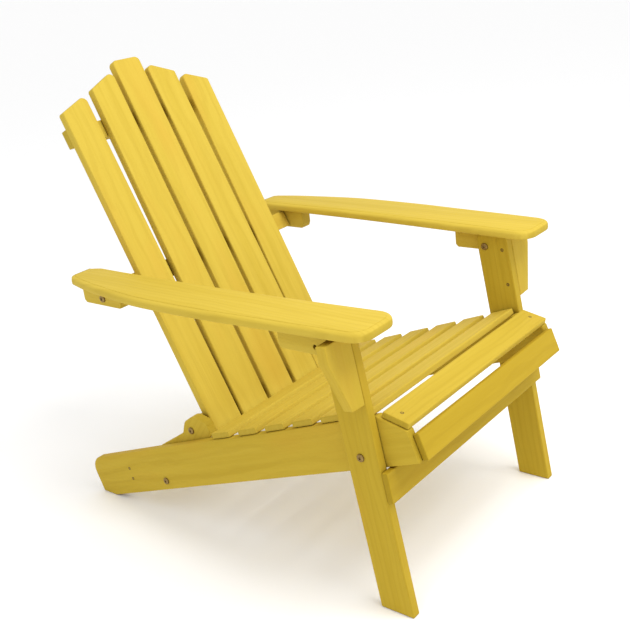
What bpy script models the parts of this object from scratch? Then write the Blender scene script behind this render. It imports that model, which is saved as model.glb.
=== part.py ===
"""Folding adirondack chair: painted boards, a back that rides on two links, legs that fold forward.

Metres, +Z up, the chair faces -Y, X runs across it. The ground is Z = 0.
"""
import math

import bmesh
import bpy
from mathutils import Matrix, Vector

# Driving dimensions -------------------------------------------------------------------------------

NAME = "adirondack_chair"
GAP = 0.0003                # air left between boards that touch
BOARD = 0.019               # planed board
SLAT = 0.0130               # thin seat slat stock

RAKE = math.radians(19.96)  # slope of the seat stringers
HEEL_Y = 0.4082             # where the line of the stringers' bottom edge meets the ground

STRINGER_X = 0.241          # inner face of a stringer
STRINGER_TOP = 0.0945       # height of a stringer under the seat slats
STRINGER_REAR_TOP = 0.098   # height of its plain rear half
STRINGER_FRONT = 0.9225     # its square front end, measured up the slope
NOSE = math.radians(32.5)   # slope of the nose against the stringer
HEEL_RADIUS = 0.035
HEEL_BACK = 0.0412          # how far the heel runs on behind that point
NOSE_DROP = 0.0347          # height the nose loses to its slope

SEAT_WIDTH = 0.0535         # width of one seat slat
SEAT_HALF = 0.2564
SEAT_FIRST = 0.4193         # rear edge of the rearmost seat slat
SEAT_PITCH = 0.0815
SEAT_PITCH_STEP = 0.0020    # each space is this much tighter than the one behind it
SEAT_COUNT = 6
NOSE_WIDTH = 0.0540          # width of the nose slat
NOSE_SLAT_START = 0.0096    # distance of the nose slat from the top of the nose
APRON_HALF = 0.2514
APRON_HEIGHT = 0.0505

LEG_X = 0.261               # inner face of a front leg
LEG_LEAN = 0.145            # rearward lean, run over rise
LEG_FRONT_Y = -0.4323       # front edge of a leg at the ground
LEG_DEPTH = 0.0708
LEG_TOP = 0.5530
STRETCHER_LOW = 0.2305
STRETCHER_WIDTH = 0.0590
STRETCHER_HALF = 0.281

CORBEL_DEPTH = 0.020
CORBEL_OUT = 0.3478
CORBEL_FOOT_OUT = 0.3148
CORBEL_TOP = 0.5450
CORBEL_SHOULDER = 0.5120
CORBEL_TAPER_END = 0.4200
CORBEL_FOOT = 0.4155

ARM_TOP = 0.5742
ARM_BOARD = 0.0175
ARM_TILT = 0.0057           # rise over run toward the rear
CLEAT = 0.030
FRONT_CLEAT_X = 0.281
REAR_CLEAT_X = 0.274

BACK_LEAN = math.radians(24.6)
BACK_WIDTH = 0.0760         # width of one back slat
BACK_GAP_TOP = (0.1210, 0.1400)   # outer space between slats, near its top
BACK_GAP_FOOT = (0.1290, 0.1330)  # the same space at the lower pivot: it closes downward
BACK_GAP_RISE = 0.70        # height between the two
BACK_INNER_PITCH = 0.0868
BACK_OUTER_PITCH = 0.1742
BACK_INNER_FACE = 0.0439    # front face of the three inner slats ahead of the lower pivot
BACK_OUTER_FACE = 0.0392    # the two outer slats sit a little further back
BACK_FOOT = -0.0350
RAIL = 0.0190
RAIL_HEIGHT = 0.0385
LOWER_RAIL = 0.0380

LINK_X = 0.2205
LINK_BOARD = 0.0200
LINK_HALF_WIDTH = 0.0193

HEAD_RADIUS = 0.0076
HEAD_HEIGHT = 0.0034
SHANK_RADIUS = 0.0040
BORE_RADIUS = 0.0045
NUT_RADIUS = 0.0075
NUT_HEIGHT = 0.0060

# Pivots, as (distance up the stringer, height square to its bottom edge)
PIVOT_LINK = (0.2131, 0.0212)
PIVOT_BACK = (0.3420, 0.1184)
PIVOT_LEG = (0.8178, 0.0314)
PIVOT_ARM_FRONT = (0.8463, 0.2478)
PIVOT_ARM_REAR = (0.3282, 0.4436)


# Frames of reference ------------------------------------------------------------------------------

def on_stringer(u, n):
    """World (y, z) of a point u up the stringer's bottom edge and n square to it."""
    y = HEEL_Y - u * math.cos(RAKE) + n * math.sin(RAKE)
    z = u * math.sin(RAKE) + n * math.cos(RAKE)
    return (y, z)


def side_plane(x=0.0):
    """Frame for an outline drawn as (y, z) whose thickness runs along X."""
    frame = Matrix(((0, 0, 1), (1, 0, 0), (0, 1, 0))).to_4x4()
    frame.translation = Vector((x, 0.0, 0.0))
    return frame


def leaning_plane(lean, y, z):
    """Frame for an outline drawn as (x, distance up the lean) whose thickness faces forward."""
    up = Vector((0.0, math.sin(lean), math.cos(lean)))
    out = Vector((0.0, -math.cos(lean), math.sin(lean)))
    frame = Matrix((Vector((1, 0, 0)), up, out)).transposed().to_4x4()
    frame.translation = Vector((0.0, y, z))
    return frame


def back_point(height, ahead):
    """World (y, z) of a point on the back: distance up the slats, distance ahead of its pivot."""
    y, z = on_stringer(*PIVOT_BACK)
    y += height * math.sin(BACK_LEAN) - ahead * math.cos(BACK_LEAN)
    z += height * math.cos(BACK_LEAN) + ahead * math.sin(BACK_LEAN)
    return (y, z)


# Outlines -----------------------------------------------------------------------------------------

def arc(centre, radius, start, end, steps=8):
    """Points on a circle between two angles in degrees, both ends included."""
    points = []
    for i in range(steps + 1):
        angle = math.radians(start + (end - start) * i / steps)
        points.append((centre[0] + radius * math.cos(angle), centre[1] + radius * math.sin(angle)))
    return points


def rounded(corners, steps=5):
    """Closed outline through (x, y, radius) corners, each corner rounded to its radius."""
    outline = []
    count = len(corners)
    for i, (x, y, radius) in enumerate(corners):
        here = Vector((x, y))
        if radius <= 0.0:
            outline.append((x, y))
            continue
        before = (Vector(corners[i - 1][:2]) - here).normalized()
        after = (Vector(corners[(i + 1) % count][:2]) - here).normalized()
        half = before.angle(after) / 2.0
        reach = radius / math.tan(half)
        centre = here + (before + after).normalized() * (radius / math.sin(half))
        first = here + before * reach - centre
        last = here + after * reach - centre
        for step in range(steps + 1):
            blend = first.lerp(last, step / steps).normalized() * radius
            outline.append(tuple(centre + blend))
    return outline


def smooth(points, steps=6):
    """Curve through the points, by the Catmull-Rom rule."""
    outline = []
    for i in range(len(points) - 1):
        p0 = Vector(points[max(i - 1, 0)])
        p1 = Vector(points[i])
        p2 = Vector(points[i + 1])
        p3 = Vector(points[min(i + 2, len(points) - 1)])
        for step in range(steps):
            t = step / steps
            spot = 2 * p1 + (p2 - p0) * t + (2 * p0 - 5 * p1 + 4 * p2 - p3) * t * t
            spot += (3 * p1 - p0 - 3 * p2 + p3) * t * t * t
            outline.append(tuple(spot / 2))
    outline.append(tuple(points[-1]))
    return outline


# Shapes -------------------------------------------------------------------------------------------

def paint(name, colour, roughness=0.5, metallic=0.0):
    """Plain Principled material."""
    material = bpy.data.materials.get(name) or bpy.data.materials.new(name)
    material.use_nodes = True
    shader = material.node_tree.nodes["Principled BSDF"]
    shader.inputs["Base Color"].default_value = (*colour, 1.0)
    shader.inputs["Roughness"].default_value = roughness
    shader.inputs["Metallic"].default_value = metallic
    material.diffuse_color = (*colour, 1.0)
    return material


def yellow():
    """Satin yellow wood stain."""
    return paint("yellow_wood", (0.75, 0.55, 0.10), 0.55)


def zinc():
    """Yellow zinc plate on the bolts."""
    return paint("zinc_plate", (0.55, 0.47, 0.30), 0.35, 1.0)


def place(name, mesh, frame, group, material):
    """Object from a mesh, put at a frame, in a collection."""
    body = bpy.data.objects.new(name, mesh)
    group.objects.link(body)
    body.matrix_world = frame
    mesh.materials.clear()
    mesh.materials.append(material)
    return body


def plate(name, outline, thickness, frame, group, material, edge=0.002):
    """Board of even thickness from a flat outline, with eased edges."""
    curve = bpy.data.curves.new(name, "CURVE")
    curve.dimensions = "2D"
    curve.fill_mode = "BOTH"
    curve.extrude = thickness / 2.0
    spline = curve.splines.new("POLY")
    spline.points.add(len(outline) - 1)
    for point, spot in zip(spline.points, outline):
        point.co = (spot[0], spot[1], 0.0, 1.0)
    spline.use_cyclic_u = True
    drawn = bpy.data.objects.new(name + "_outline", curve)
    bpy.context.scene.collection.objects.link(drawn)
    bpy.context.view_layer.update()
    evaluated = drawn.evaluated_get(bpy.context.evaluated_depsgraph_get())
    mesh = bpy.data.meshes.new_from_object(evaluated)
    bpy.data.objects.remove(drawn)
    mesh.name = name
    build = bmesh.new()
    build.from_mesh(mesh)
    bmesh.ops.remove_doubles(build, verts=build.verts, dist=1e-6)
    bmesh.ops.dissolve_limit(build, angle_limit=0.001, verts=build.verts, edges=build.edges)
    bmesh.ops.recalc_face_normals(build, faces=build.faces)
    build.to_mesh(mesh)
    build.free()
    body = place(name, mesh, frame, group, material)
    if edge > 0.0:
        ease(body, edge)
    return body


def ease(body, width, segments=2):
    """Rounded edges."""
    bevel = body.modifiers.new("eased_edges", "BEVEL")
    bevel.width = width
    bevel.segments = segments
    bevel.limit_method = "ANGLE"
    bevel.angle_limit = math.radians(35)


def bar(name, size, frame, group, material, edge=0.002):
    """Straight stick, sized along the frame's own axes."""
    mesh = bpy.data.meshes.new(name)
    build = bmesh.new()
    bmesh.ops.create_cube(build, size=1.0)
    bmesh.ops.scale(build, vec=Vector(size), verts=build.verts)
    build.to_mesh(mesh)
    build.free()
    body = place(name, mesh, frame, group, material)
    ease(body, edge)
    return body


def bore(body, y, z, x_start, x_end, cutters, radius=BORE_RADIUS):
    """Round hole along X through a board."""
    name = "bore_%s_%d" % (body.name, len(body.modifiers))
    mesh = bpy.data.meshes.new(name)
    build = bmesh.new()
    bmesh.ops.create_cone(build, cap_ends=True, segments=24, radius1=radius, radius2=radius,
                          depth=abs(x_end - x_start))
    build.to_mesh(mesh)
    build.free()
    cutter = bpy.data.objects.new(name, mesh)
    cutters.objects.link(cutter)
    cutter.matrix_world = (Matrix.Translation(((x_start + x_end) / 2.0, y, z))
                           @ Matrix.Rotation(math.radians(90), 4, "Y"))
    cutter.hide_render = True
    cutter.display_type = "WIRE"
    cut = body.modifiers.new(name, "BOOLEAN")
    cut.operation = "DIFFERENCE"
    cut.solver = "EXACT"
    cut.object = cutter


def turned(name, profile, frame, group, material):
    """Turned piece: the profile goes round its own Z axis."""
    mesh = bpy.data.meshes.new(name)
    build = bmesh.new()
    verts = [build.verts.new((r, 0.0, z)) for r, z in profile]
    for first, second in zip(verts, verts[1:]):
        build.edges.new((first, second))
    build.to_mesh(mesh)
    build.free()
    body = place(name, mesh, frame, group, material)
    screw = body.modifiers.new("turned", "SCREW")
    screw.steps = 24
    screw.render_steps = 24
    screw.axis = "Z"
    screw.use_merge_vertices = True
    screw.merge_threshold = 0.00001
    screw.use_smooth_shade = True
    return body


def bolt(name, side, x_face, inward, length, pivot_yz, group):
    """Domed bolt with a socket in its head, seated on the face at x_face.

    inward is True where the shank runs toward the middle of the chair.
    """
    dome = HEAD_HEIGHT * 0.45
    profile = [(0.0, HEAD_HEIGHT - 0.0018), (0.0026, HEAD_HEIGHT - 0.0018), (0.0030, HEAD_HEIGHT)]
    for step in range(1, 6):
        angle = math.radians(90 * step / 5)
        reach = 0.0030 + (HEAD_RADIUS - 0.0030) * math.sin(angle)
        profile.append((reach, HEAD_HEIGHT - dome + dome * math.cos(angle)))
    profile.append((HEAD_RADIUS, 0.0))
    profile.append((SHANK_RADIUS, 0.0))
    profile.append((SHANK_RADIUS, -length + 0.0008))
    profile.append((SHANK_RADIUS - 0.0008, -length))
    profile.append((0.0, -length))
    outward = side if inward else -side
    turn = Matrix.Rotation(math.radians(90 * outward), 4, "Y")
    seat = side * x_face + outward * GAP
    frame = Matrix.Translation((seat, pivot_yz[0], pivot_yz[1])) @ turn
    return turned(name, profile, frame, group, zinc())


def nut(name, side, x_outer, pivot_yz, group):
    """Plain hexagon nut whose outer face is at x_outer."""
    corners = arc((0.0, 0.0), NUT_RADIUS, 0, 300, 5)
    hole = arc((0.0, 0.0), SHANK_RADIUS + GAP, 360, 0, 24)[:-1]
    mesh = bpy.data.meshes.new(name)
    build = bmesh.new()
    for height in (-NUT_HEIGHT / 2.0, NUT_HEIGHT / 2.0):
        for x, y in corners + hole:
            build.verts.new((x, y, height))
    build.verts.ensure_lookup_table()
    ring = len(corners) + len(hole)
    turns = len(hole) // len(corners)
    for level, flip in ((0, True), (1, False)):
        base = level * ring
        for i in range(6):
            fan = [base + i, base + (i + 1) % 6]
            inner = [(6 - i - 1) * turns - 0, (6 - i) * turns]
            walk = range(inner[0], inner[1] + 1)
            fan += [base + 6 + k % len(hole) for k in walk]
            face = [build.verts[k] for k in fan]
            if flip:
                face.reverse()
            build.faces.new(face)
    for i in range(6):
        a, b = i, (i + 1) % 6
        build.faces.new([build.verts[k] for k in (a, b, b + ring, a + ring)])
    for i in range(len(hole)):
        a, b = 6 + i, 6 + (i + 1) % len(hole)
        build.faces.new([build.verts[k] for k in (a, b, b + ring, a + ring)])
    bmesh.ops.recalc_face_normals(build, faces=build.faces)
    build.to_mesh(mesh)
    build.free()
    x = side * (x_outer - NUT_HEIGHT / 2.0)
    frame = Matrix.Translation((x, pivot_yz[0], pivot_yz[1])) @ Matrix.Rotation(math.radians(90), 4, "Y")
    return place(name, mesh, frame, group, zinc())


# Seat frame ---------------------------------------------------------------------------------------

def stringer_top(u):
    """Height of the stringer's top edge at u."""
    if u < 0.37:
        return STRINGER_REAR_TOP
    if u < 0.50:
        return STRINGER_REAR_TOP + (STRINGER_TOP - STRINGER_REAR_TOP) * (u - 0.37) / 0.13
    return STRINGER_TOP


def stringer_outline():
    """Side outline of a stringer, heel to nose."""
    nose_run = NOSE_DROP / math.tan(NOSE)
    spots = [(0.0, 0.0), (-HEEL_BACK, HEEL_BACK * math.tan(RAKE))]
    spots += arc((-HEEL_BACK + HEEL_RADIUS, STRINGER_REAR_TOP - HEEL_RADIUS), HEEL_RADIUS, 180, 90, 8)
    spots += [(0.37, STRINGER_REAR_TOP), (0.50, STRINGER_TOP)]
    spots += [(STRINGER_FRONT - nose_run, STRINGER_TOP)]
    spots += [(STRINGER_FRONT, STRINGER_TOP - NOSE_DROP), (STRINGER_FRONT, 0.0)]
    return [on_stringer(u, n) for u, n in spots]


def board_frame(u, n, slope=0.0):
    """Frame of a cross board: X across, Y up the stringer, Z square to it, turned by slope."""
    y, z = on_stringer(u, n)
    return Matrix.Translation((0.0, y, z)) @ Matrix.Rotation(math.pi - RAKE - slope, 4, "X")


def seat_frame(group, cutters):
    """Stringers, seat slats, apron, rear stretcher and their bolts."""
    wood = yellow()
    leg_yz = on_stringer(*PIVOT_LEG)
    link_yz = on_stringer(*PIVOT_LINK)
    for side, word in ((-1, "left"), (1, "right")):
        x = side * (STRINGER_X + BOARD / 2.0)
        body = plate("stringer_" + word, stringer_outline(), BOARD, side_plane(x), group, wood)
        for pivot in (leg_yz, link_yz):
            bore(body, pivot[0], pivot[1], x - 0.02, x + 0.02, cutters)
        bolt("leg_bolt_" + word, side, LEG_X + BOARD, True, 0.0460, leg_yz, group)
        nut("leg_nut_" + word, side, STRINGER_X - GAP, leg_yz, group)
        bolt("link_bolt_" + word, side, STRINGER_X + BOARD, True, 0.0465, link_yz, group)
        nut("link_nut_" + word, side, LINK_X - GAP, link_yz, group)
    rear = SEAT_FIRST
    for i in range(SEAT_COUNT):
        front = rear + SEAT_WIDTH
        rise = stringer_top(front) - stringer_top(rear)
        slope = math.atan2(rise, SEAT_WIDTH)
        middle = (stringer_top(front) + stringer_top(rear)) / 2.0 + GAP + SLAT / 2.0
        frame = board_frame((rear + front) / 2.0, middle, slope)
        size = (2.0 * SEAT_HALF, SEAT_WIDTH, SLAT)
        bar("seat_slat_%d" % (i + 1), size, frame, group, wood, 0.0025)
        rear += SEAT_PITCH - SEAT_PITCH_STEP * i
    along = NOSE_SLAT_START + NOSE_WIDTH / 2.0
    off = GAP + SLAT / 2.0
    u = STRINGER_FRONT - NOSE_DROP / math.tan(NOSE) + along * math.cos(NOSE) + off * math.sin(NOSE)
    n = STRINGER_TOP - along * math.sin(NOSE) + off * math.cos(NOSE)
    size = (2.0 * SEAT_HALF, NOSE_WIDTH, SLAT)
    bar("seat_slat_7", size, board_frame(u, n, -NOSE), group, wood, 0.0025)
    frame = board_frame(STRINGER_FRONT + GAP + SLAT / 2.0, APRON_HEIGHT / 2.0)
    bar("front_apron", (2.0 * APRON_HALF, SLAT, APRON_HEIGHT), frame, group, wood, 0.0025)
    frame = board_frame(0.0945, 0.0420)
    bar("rear_stretcher", (2.0 * (STRINGER_X - GAP), BOARD, 0.0480), frame, group, wood)


# Front legs ---------------------------------------------------------------------------------------

def leg_outline():
    """Side outline of a front leg: square foot, raked edges, rear top corner cut back."""
    front_y = LEG_FRONT_Y + LEG_LEAN * LEG_TOP
    rear_foot = LEG_FRONT_Y + LEG_DEPTH
    corners = [(LEG_FRONT_Y, 0.0, 0.0), (rear_foot, 0.0, 0.0)]
    corners.append((rear_foot + LEG_LEAN * LEG_TOP, LEG_TOP, 0.020))
    corners.append((front_y, LEG_TOP, 0.004))
    return rounded(corners, 6)


def corbel_outline(side):
    """Face outline of a corbel, measured up the leg's lean from the ground."""
    stretch = math.hypot(1.0, LEG_LEAN)
    root = LEG_X + BOARD + GAP
    corners = [(root, CORBEL_FOOT, 0.0), (CORBEL_FOOT_OUT, CORBEL_FOOT + 0.0015, 0.004)]
    corners += [(CORBEL_OUT, CORBEL_SHOULDER, 0.030), (CORBEL_OUT, CORBEL_TOP, 0.003)]
    corners += [(root, CORBEL_TOP, 0.0)]
    outline = rounded([(x, z * stretch, radius) for x, z, radius in corners], 5)
    return [(side * x, up) for x, up in outline]


def front_legs(group, cutters):
    """Both front legs with their stretcher, corbels and upper bolts."""
    wood = yellow()
    leg_yz = on_stringer(*PIVOT_LEG)
    arm_yz = on_stringer(*PIVOT_ARM_FRONT)
    lean = math.atan(LEG_LEAN)
    for side, word in ((-1, "left"), (1, "right")):
        x = side * (LEG_X + BOARD / 2.0)
        body = plate("front_leg_" + word, leg_outline(), BOARD, side_plane(x), group, wood)
        for pivot in (leg_yz, arm_yz):
            bore(body, pivot[0], pivot[1], x - 0.02, x + 0.02, cutters)
        bolt("arm_front_bolt_" + word, side, LEG_X, False, 0.0188, arm_yz, group)
        shift = CORBEL_DEPTH / 2.0
        frame = leaning_plane(lean, LEG_FRONT_Y, 0.0)
        frame = frame @ Matrix.Translation((0.0, 0.0, -shift))
        plate("corbel_" + word, corbel_outline(side), CORBEL_DEPTH, frame, group, wood)
    stretch = math.hypot(1.0, LEG_LEAN)
    middle = (STRETCHER_LOW + STRETCHER_WIDTH / 2.0) * stretch
    frame = leaning_plane(lean, LEG_FRONT_Y, 0.0)
    frame = frame @ Matrix.Translation((0.0, middle, GAP + SLAT / 2.0))
    size = (2.0 * STRETCHER_HALF, STRETCHER_WIDTH, SLAT)
    bar("lower_stretcher", size, frame, group, wood, 0.0025)


# Links --------------------------------------------------------------------------------------------

def link_outline():
    """Side outline of a back link, from its foot pivot up past the back's pivot."""
    foot = Vector(PIVOT_LINK)
    pivot = Vector(PIVOT_BACK)
    aim = math.degrees(math.atan2(pivot.y - foot.y, pivot.x - foot.x))
    head = [(0.3960, 0.0990, 0.0), (0.3985, 0.1290, 0.016), (0.3640, 0.1490, 0.022)]
    head += [(0.3300, 0.1400, 0.020), (0.3101, 0.1161, 0.0)]
    spots = rounded(head, 6)
    spots += arc((0.2110, 0.0825), 0.0125, 105, 175, 5)
    spots += arc(foot, LINK_HALF_WIDTH, 175, aim + 270, 10)
    return [on_stringer(u, n) for u, n in spots]


def links(group, cutters):
    """The two links that carry the back."""
    for side, word in ((-1, "left"), (1, "right")):
        x = side * (LINK_X + LINK_BOARD / 2.0)
        body = plate("back_link_" + word, link_outline(), LINK_BOARD, side_plane(x), group, yellow())
        for pivot in (PIVOT_LINK, PIVOT_BACK):
            y, z = on_stringer(*pivot)
            bore(body, y, z, x - 0.02, x + 0.02, cutters)


# Back ---------------------------------------------------------------------------------------------

def space_edge(height, edge):
    """Where an edge of the outer space lies at a height: edge 0 is its inner side, 1 its outer."""
    share = height / BACK_GAP_RISE
    return BACK_GAP_FOOT[edge] + (BACK_GAP_TOP[edge] - BACK_GAP_FOOT[edge]) * share


def slat_edges(i, height):
    """Inner and outer edge of the slat i places out from the middle one, at a height."""
    half = BACK_WIDTH / 2.0
    if i == 0:
        return (-half, half)
    if i == 1:
        return (BACK_INNER_PITCH - half, space_edge(height, 0))
    return (space_edge(height, 1), BACK_OUTER_PITCH + half)


def slat_outline(i, side, tops):
    """Face outline of a back slat with a sloping, rounded top."""
    inner_top, outer_top, inner_round, outer_round = tops
    corners = [(slat_edges(i, BACK_FOOT)[0], BACK_FOOT, 0.003)]
    corners += [(slat_edges(i, BACK_FOOT)[1], BACK_FOOT, 0.003)]
    corners += [(slat_edges(i, outer_top)[1], outer_top, outer_round)]
    corners += [(slat_edges(i, inner_top)[0], inner_top, inner_round)]
    return rounded([(side * x, up, radius) for x, up, radius in corners], 6)


def rail_outline(half, front_step, depth):
    """Outline of a back rail seen from above: (x, distance ahead), proud behind the inner slats."""
    step = (BACK_INNER_PITCH + BACK_OUTER_PITCH) / 2.0
    rear = BACK_OUTER_FACE - BOARD - GAP - depth
    low = BACK_OUTER_FACE - BOARD - GAP
    high = low + front_step
    return [(-half, rear), (half, rear), (half, low), (step, low), (step, high), (-step, high),
            (-step, low), (-half, low)]


def rail(name, half, depth, height, width, group):
    """Cross rail behind the slats, centred at a height up the slats."""
    y, z = back_point(height, 0.0)
    across = Vector((1.0, 0.0, 0.0))
    ahead = Vector((0.0, -math.cos(BACK_LEAN), math.sin(BACK_LEAN)))
    frame = Matrix((across, ahead, across.cross(ahead))).transposed().to_4x4()
    frame.translation = Vector((0.0, y, z))
    outline = rail_outline(half, BACK_INNER_FACE - BACK_OUTER_FACE, depth)
    return plate(name, outline, width, frame, group, yellow(), 0.0012)


def back(group, cutters):
    """Five slats, three rails and the bolts that hold the back to its links and arms."""
    wood = yellow()
    tops = ((0.7860, 0.7860, 0.012, 0.012), (0.7657, 0.7360, 0.012, 0.006),
            (0.7297, 0.7030, 0.012, 0.006))
    for i, (out, side) in enumerate(((2, -1), (1, -1), (0, 1), (1, 1), (2, 1))):
        face = BACK_OUTER_FACE if out == 2 else BACK_INNER_FACE
        y, z = back_point(0.0, face - BOARD / 2.0)
        outline = slat_outline(out, side, tops[out])
        frame = leaning_plane(BACK_LEAN, y, z)
        plate("back_slat_%d" % (i + 1), outline, BOARD, frame, group, wood, 0.003)
    low_yz = on_stringer(*PIVOT_BACK)
    arm_yz = on_stringer(*PIVOT_ARM_REAR)
    rail("upper_rail", 0.2090, RAIL, 0.6540, RAIL_HEIGHT, group)
    middle_rail = rail("arm_rail", 0.2720, RAIL, 0.3299, RAIL_HEIGHT, group)
    lower_rail = rail("lower_rail", 0.2195, LOWER_RAIL, 0.0, LOWER_RAIL, group)
    for side, word in ((-1, "left"), (1, "right")):
        bore(middle_rail, arm_yz[0], arm_yz[1], side * 0.238, side * 0.280, cutters)
        bore(lower_rail, low_yz[0], low_yz[1], side * 0.185, side * 0.230, cutters)
        x_face = REAR_CLEAT_X + CLEAT
        bolt("arm_rear_bolt_" + word, side, x_face, True, 0.0640, arm_yz, group)
        bolt("back_bolt_" + word, side, LINK_X + LINK_BOARD, True, 0.0530, low_yz, group)


# Arms ---------------------------------------------------------------------------------------------

def arm_outline(side):
    """Plan outline of an arm: full at the middle, drawn in at both ends."""
    shift = -0.0013
    outer = smooth([(0.3265, 0.3140), (0.3400, 0.2600), (0.3500, 0.2000), (0.3628, 0.1000),
                    (0.3640, 0.0050), (0.3602, -0.1000), (0.3526, -0.2000), (0.3442, -0.3200)], 5)
    front = rounded([(0.3405, -0.3650, 0.0), (0.3355, -0.4208, 0.035), (0.2240, -0.4208, 0.035),
                     (0.2295, -0.3500, 0.0)], 7)[1:-1]
    inner = smooth([(0.2295, -0.3500), (0.2400, -0.2000), (0.2504, 0.0000), (0.2550, 0.2000),
                    (0.2555, 0.3100)], 5)
    rear = [(0.2720, 0.3250), (0.3150, 0.3250)]
    return [(side * x, y + shift) for x, y in outer + front + inner + rear]


def cleat_outline(rear, front, low, corner):
    """Side outline of a cleat whose top follows the underside of the arm."""
    def underside(y):
        return ARM_TOP + ARM_TILT * y - ARM_BOARD - GAP
    return [(rear, underside(rear)), (rear, low + 0.006), (rear - 0.006, low),
            (front + corner, low), (front, low + 0.010), (front, underside(front))]


def arms(group, cutters):
    """Both arms with their front and rear cleats."""
    wood = yellow()
    front_yz = on_stringer(*PIVOT_ARM_FRONT)
    rear_yz = on_stringer(*PIVOT_ARM_REAR)
    tilt = Matrix.Rotation(math.atan(ARM_TILT), 4, "X")
    for side, word in ((-1, "left"), (1, "right")):
        frame = Matrix.Translation((0.0, 0.0, ARM_TOP - ARM_BOARD / 2.0)) @ tilt
        plate("arm_" + word, arm_outline(side), ARM_BOARD, frame, group, wood, 0.0045)
        x = side * (FRONT_CLEAT_X + CLEAT / 2.0)
        outline = cleat_outline(-0.2205, -0.3283, 0.5068, 0.010)
        body = plate("front_cleat_" + word, outline, CLEAT, side_plane(x), group, wood)
        bore(body, front_yz[0], front_yz[1], x - 0.025, x + 0.025, cutters)
        x = side * (REAR_CLEAT_X + CLEAT / 2.0)
        outline = cleat_outline(0.3122, 0.1985, 0.5130, 0.004)
        body = plate("rear_cleat_" + word, outline, CLEAT, side_plane(x), group, wood)
        bore(body, rear_yz[0], rear_yz[1], x - 0.025, x + 0.025, cutters)


# Assembly -----------------------------------------------------------------------------------------

def collection(name):
    """New collection in the scene."""
    group = bpy.data.collections.new(name)
    bpy.context.scene.collection.children.link(group)
    return group


def main():
    """Clear the scene and build the chair."""
    for leftover in list(bpy.data.objects):
        bpy.data.objects.remove(leftover)
    group = collection(NAME)
    cutters = collection("cutters")
    seat_frame(group, cutters)
    front_legs(group, cutters)
    links(group, cutters)
    back(group, cutters)
    arms(group, cutters)


main()
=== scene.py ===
"""Folding adirondack chair in yellow-stained wood: its finish, its hardware and its studio.

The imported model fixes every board, pivot and bolt. This script gives the boards their wood finish,
replaces the arms and the bolts with fuller pieces, adds the wood screws, and sets up the floor, the
studio light and the camera.
"""
from __future__ import annotations

import logging
import math
from dataclasses import dataclass, replace
from enum import Enum

import bmesh
import bpy
from mathutils import Matrix, Vector


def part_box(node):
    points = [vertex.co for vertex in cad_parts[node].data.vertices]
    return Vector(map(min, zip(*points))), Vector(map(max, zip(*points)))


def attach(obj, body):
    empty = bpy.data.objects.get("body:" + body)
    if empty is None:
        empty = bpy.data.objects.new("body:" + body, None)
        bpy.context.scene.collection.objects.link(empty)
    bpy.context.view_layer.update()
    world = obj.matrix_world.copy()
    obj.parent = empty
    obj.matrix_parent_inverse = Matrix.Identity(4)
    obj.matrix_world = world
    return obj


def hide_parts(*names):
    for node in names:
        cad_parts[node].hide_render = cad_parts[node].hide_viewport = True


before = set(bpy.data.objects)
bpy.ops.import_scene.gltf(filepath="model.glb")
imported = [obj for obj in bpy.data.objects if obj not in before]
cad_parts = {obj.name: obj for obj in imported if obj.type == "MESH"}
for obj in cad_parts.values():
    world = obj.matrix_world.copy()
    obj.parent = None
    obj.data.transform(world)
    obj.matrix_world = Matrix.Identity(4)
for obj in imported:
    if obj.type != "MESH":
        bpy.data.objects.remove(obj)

LOG = logging.getLogger("chair")
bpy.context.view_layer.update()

Triple = tuple[float, float, float]

FULL_TURN = 2.0 * math.pi
RAKE = 19.96                                    # stringers, in degrees up from level
LINK_RISE = 57.0                                # back links, in degrees up from level
LEG_SLOPE = 0.145                               # how far the legs lean back for each metre of height
LEG_LEAN = math.degrees(math.atan(LEG_SLOPE))   # the same lean in degrees
BACK_LEAN = 24.6                                # back, in degrees from upright
BOARD_SEED = 3                                  # wood pattern of the first board
ARM_SEED = 70                                   # wood pattern of the left arm


class Side(Enum):
    """The two sides of the chair."""

    LEFT = -1
    RIGHT = 1

    @property
    def word(self) -> str:
        """Name used in node names."""
        return self.name.lower()


class Run(Enum):
    """Which way the grain of a board runs, as an angle up from level in the side view.

    ACROSS boards run along X; the others lie in the side plane.
    """

    ACROSS = None
    LEVEL = 0.0
    STRINGER = 180.0 - RAKE
    LINK = 180.0 - LINK_RISE
    LEG = 90.0 - LEG_LEAN
    BACK = 90.0 - BACK_LEAN

    def axis(self) -> Vector:
        """Unit vector along the grain.

        Returns:
            The direction in the chair's frame.
        """
        if self is Run.ACROSS:
            return Vector((1.0, 0.0, 0.0))
        angle = math.radians(self.value)
        return Vector((0.0, math.cos(angle), math.sin(angle)))


class SubAssembly:
    """A group of pieces that is made together."""

    def build(self) -> list[bpy.types.Object]:
        """Make the pieces.

        Returns:
            The pieces that were made or dressed.
        """
        raise NotImplementedError


# Outlines -----------------------------------------------------------------------------------------

def smooth(points: list[tuple[float, float]], steps: int) -> list[tuple[float, float]]:
    """Curve through points by the Catmull-Rom rule.

    Args:
        points: The points to pass through.
        steps: Pieces between one point and the next.

    Returns:
        Points on the curve, ends included.
    """
    outline = []
    for i in range(len(points) - 1):
        p0 = Vector(points[max(i - 1, 0)])
        p1 = Vector(points[i])
        p2 = Vector(points[i + 1])
        p3 = Vector(points[min(i + 2, len(points) - 1)])
        for step in range(steps):
            t = step / steps
            spot = 2 * p1 + (p2 - p0) * t + (2 * p0 - 5 * p1 + 4 * p2 - p3) * t * t
            spot += (3 * p1 - p0 - 3 * p2 + p3) * t * t * t
            outline.append(tuple(spot / 2))
    outline.append(tuple(points[-1]))
    return outline


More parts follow.
